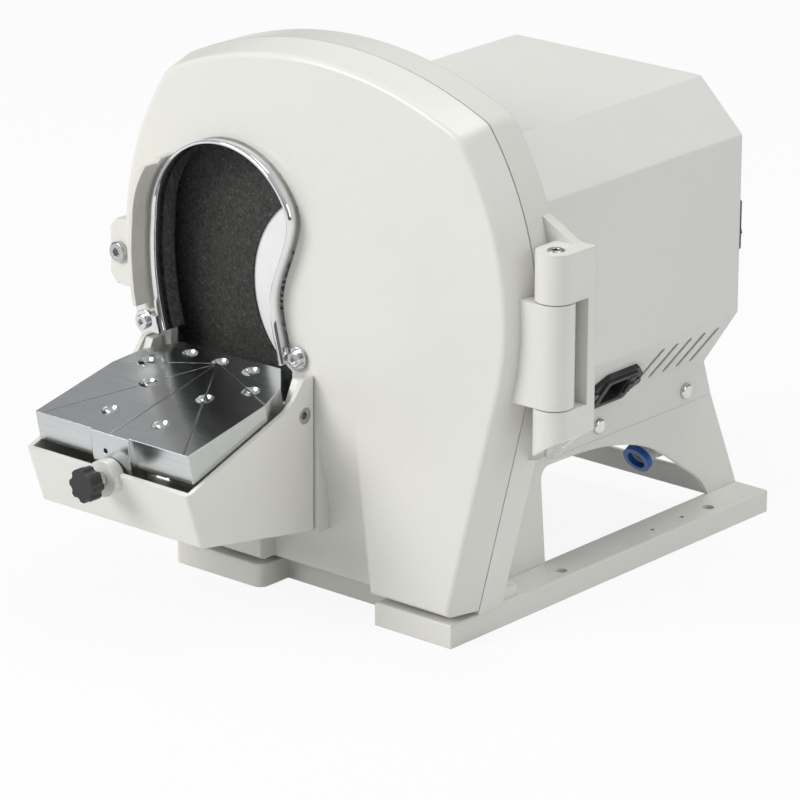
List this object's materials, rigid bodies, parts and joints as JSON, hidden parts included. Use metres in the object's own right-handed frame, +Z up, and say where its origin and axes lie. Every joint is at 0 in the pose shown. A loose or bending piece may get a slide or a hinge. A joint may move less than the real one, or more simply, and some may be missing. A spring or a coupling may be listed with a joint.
{
  "type": "dental model trimmer",
  "caption": "Wet trimmer for dental plaster models: round abrasive wheel in a hinged casing, tilting table over a cast tray, motor housing, base with bench fixing holes.",
  "frame": {"origin": "centre of the rectangle of four bench fixing holes, on the plane the base stands on", "axes": "+Z up along the fixing bolts, +X to the operator's right when facing the wheel, -Y towards the operator"},
  "size_m": [0.3405, 0.4286, 0.333],
  "materials": {
    "enamel": "warm light grey enamel on cast aluminium, satin",
    "enamel_sheet": "light grey powder coat on bent sheet steel",
    "zinc_sheet": "plain zinc-plated sheet",
    "machined_table": "machined, with fine cutter marks",
    "polished_band": "polished stainless strip",
    "plated_screws": "nickel plated",
    "dark_screws": "blackened steel",
    "steel_pins": "ground steel",
    "wheel_metal": "white coated aluminium plate",
    "abrasive": "coarse black silicon carbide grit",
    "rotor_iron": "stacked iron sheets",
    "motor_aluminium": "die cast",
    "guard_grey": "grey with a matt olive lip",
    "black_plastic": "black moulded",
    "grey_plastic": "grey moulded",
    "white_plastic": "white moulded",
    "blue_plastic": "blue moulded",
    "seal_rubber": "black rubber",
    "brass_pipe": "plain brass"
  },
  "bodies": {
    "frame": {"base_casting": "enamel", "side_frame_right": "enamel", "side_frame_left": "enamel", "rear_rail": "enamel", "wheel_casing": "enamel", "door_gasket": "seal_rubber", "hinge_pin": "steel_pins", "casing_foot_bolts": "plated_screws", "drain_spigot": "grey_plastic", "shaft_seal": "seal_rubber", "spray_pipe": "brass_pipe", "housing_cover": "enamel_sheet", "cover_screws": "plated_screws", "housing_floor": "zinc_sheet", "motor_stator": "motor_aluminium", "motor_front_bell": "motor_aluminium", "motor_rear_bell": "motor_aluminium", "front_bearing": "steel_pins", "rear_bearing": "steel_pins", "motor_cradle": "zinc_sheet", "run_capacitor": "black_plastic", "terminal_block": "grey_plastic", "water_valve": "white_plastic", "valve_release_collar": "blue_plastic", "switch_frame": "black_plastic", "power_inlet": "black_plastic", "inlet_pins": "brass_pipe", "inlet_screws": "dark_screws"},
    "wheel": {"wheel_plate": "wheel_metal", "abrasive_disc": "abrasive", "wheel_nut": "plated_screws", "motor_shaft": "steel_pins", "water_slinger": "seal_rubber", "motor_rotor": "rotor_iron", "cooling_fan": "black_plastic"},
    "door_leaf": {"door": "enamel", "opening_band": "polished_band", "band_screws": "plated_screws", "splash_guard": "guard_grey", "latch_bolt": "dark_screws", "tray": "enamel", "tray_screws": "plated_screws", "tilt_shaft": "steel_pins"},
    "tilting_table": {"table": "machined_table"},
    "clamp_foot": {"clamp_pad": "steel_pins"},
    "clamp_handle": {"clamp_knob": "black_plastic", "clamp_screw": "steel_pins"},
    "switch_key": {"switch_rocker": "black_plastic"},
    "fuse_holder": {"fuse_drawer": "black_plastic"}
  },
  "joints": [
    {"name": "wheel_spin", "type": "hinge", "parent": "frame", "child": "wheel", "pos_m": [0, -0.1, 0.1825], "axis": [0, 1, 0], "continuous": true},
    {"name": "door_swing", "type": "hinge", "parent": "frame", "child": "door_leaf", "pos_m": [0.162, -0.1595, 0.18], "axis": [0, 0, 1], "range_deg": [0, 105]},
    {"name": "table_tilt", "type": "hinge", "parent": "door_leaf", "child": "tilting_table", "pos_m": [-0.0593, -0.1897, 0.119], "axis": [-1, 0, 0], "range_deg": [-2, 14]},
    {"name": "clamp_travel", "type": "slide", "parent": "door_leaf", "child": "clamp_foot", "axis": [0, -1, 0], "range_m": [0, 0.00201]},
    {"name": "clamp_turn", "type": "hinge", "parent": "clamp_foot", "child": "clamp_handle", "pos_m": [-0.0593, -0.307, 0.0935], "axis": [0, 1, 0], "range_deg": [0, 480]},
    {"name": "switch_press", "type": "hinge", "parent": "frame", "child": "switch_key", "pos_m": [0.0905, 0.0885, 0.188], "axis": [-1, 0, 0], "range_deg": [0, 24]},
    {"name": "fuse_pull", "type": "slide", "parent": "frame", "child": "fuse_holder", "axis": [0.8348, 0, -0.5505], "range_m": [0, 0.014]}
  ],
  "couplings": [
    {"joint": "clamp_travel", "follows": "clamp_turn", "m_per_rad": 0.00023873}
  ]
}
